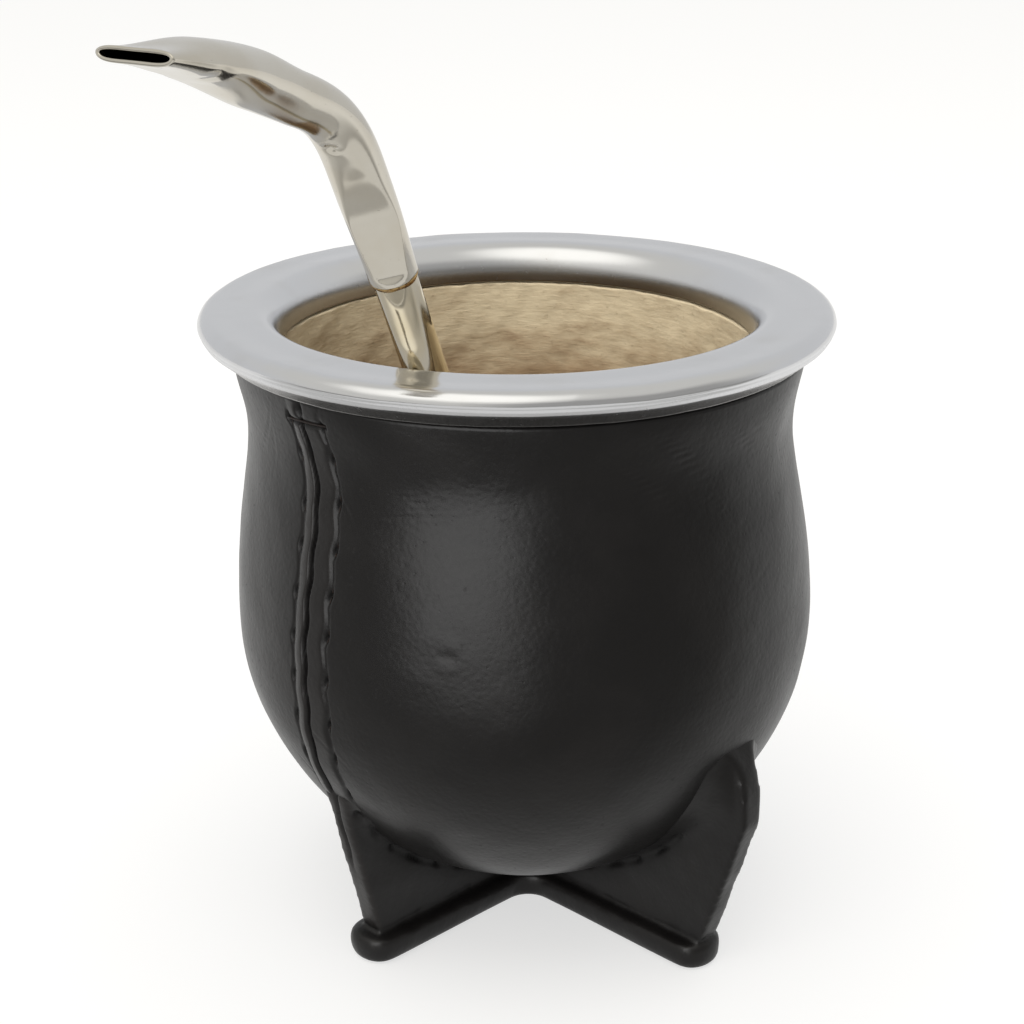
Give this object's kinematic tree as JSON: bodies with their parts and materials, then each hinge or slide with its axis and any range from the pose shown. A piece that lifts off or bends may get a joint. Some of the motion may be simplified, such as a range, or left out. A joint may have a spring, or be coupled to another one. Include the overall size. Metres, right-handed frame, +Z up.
{
  "type": "mate gourd cup with straw",
  "caption": "Dried gourd drinking cup in a black stitched leather cover with a cross-shaped foot, a wide metal rim and a bent metal drinking straw leaning in it.",
  "frame": {"origin": "on the floor, on the axis of the gourd's belly, in the flat underside of the foot", "axes": "+Z up; -Y is the front, where the open angle between two feet faces; +X is to the right seen from the front. The straw leans to the front left."},
  "size_m": [0.0959, 0.1259, 0.1478],
  "materials": {
    "gourd_shell": "dry, matt, mottled tan",
    "black_leather": "smooth, semi-gloss, fine grain",
    "rim_metal": "fine circular brushing, polished edge",
    "straw_metal": "polished, warm silver",
    "braze": "bright"
  },
  "bodies": {
    "root": {"gourd": "gourd_shell", "leather_cover": "black_leather", "foot_base": "black_leather", "rim_ring": "rim_metal", "straw_stem": "straw_metal", "straw_braze": "braze", "straw_mouthpiece": "straw_metal", "straw_strainer": "straw_metal"}
  },
  "joints": []
}
